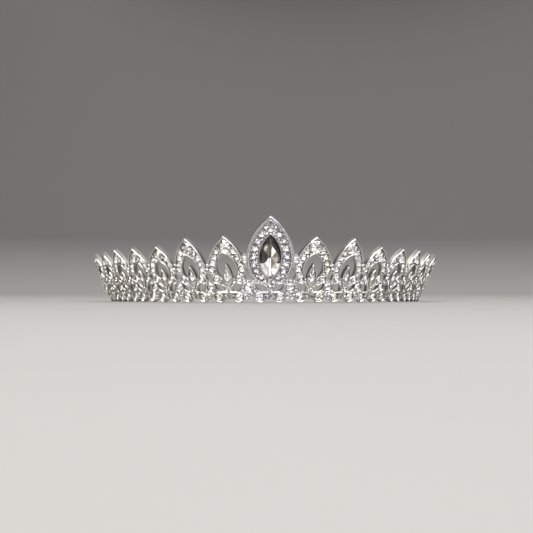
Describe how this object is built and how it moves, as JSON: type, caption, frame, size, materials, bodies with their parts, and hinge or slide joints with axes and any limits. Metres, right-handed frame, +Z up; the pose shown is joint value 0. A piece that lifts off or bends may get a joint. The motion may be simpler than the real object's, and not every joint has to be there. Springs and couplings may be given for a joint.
{
  "type": "tiara",
  "caption": "Half-ring tiara of pierced pointed arches that lean outward, set with clear cut stones and a large pointed stone in front, with an eyelet at each end.",
  "frame": {"origin": "middle of the tiara's box, left to right and front to back, on the level that its foot rests on", "axes": "+Z up, +X to the right as seen from the front, and the front and its large stone face -Y"},
  "size_m": [0.1366, 0.063, 0.0311],
  "materials": {
    "cast_metal": "cast alloy, polished and rhodium plated, bright silver",
    "large_stone": "machine-cut crystal glass, foiled behind",
    "small_stones": "machine-cut crystal glass, foiled behind"
  },
  "bodies": {
    "root": {"frame": "cast_metal", "centre_stone": "large_stone", "halo_stones": "small_stones", "leg_stones_l": "small_stones", "leg_stones_r": "small_stones", "joint_stones_l": "small_stones", "joint_stones_r": "small_stones", "scallop_stones_l": "small_stones", "scallop_stones_r": "small_stones", "head_stone_l1": "small_stones", "head_stone_l2": "small_stones", "head_stone_l3": "small_stones", "head_stone_l4": "small_stones", "head_stone_l5": "small_stones", "head_stone_l6": "small_stones", "head_stone_l7": "small_stones", "head_stone_r1": "small_stones", "head_stone_r2": "small_stones", "head_stone_r3": "small_stones", "head_stone_r4": "small_stones", "head_stone_r5": "small_stones", "head_stone_r6": "small_stones", "head_stone_r7": "small_stones", "drop_stone_l1": "small_stones", "drop_stone_l2": "small_stones", "drop_stone_l3": "small_stones", "drop_stone_l4": "small_stones", "drop_stone_l5": "small_stones", "drop_stone_l6": "small_stones", "drop_stone_l7": "small_stones", "drop_stone_r1": "small_stones", "drop_stone_r2": "small_stones", "drop_stone_r3": "small_stones", "drop_stone_r4": "small_stones", "drop_stone_r5": "small_stones", "drop_stone_r6": "small_stones", "drop_stone_r7": "small_stones"}
  },
  "joints": []
}
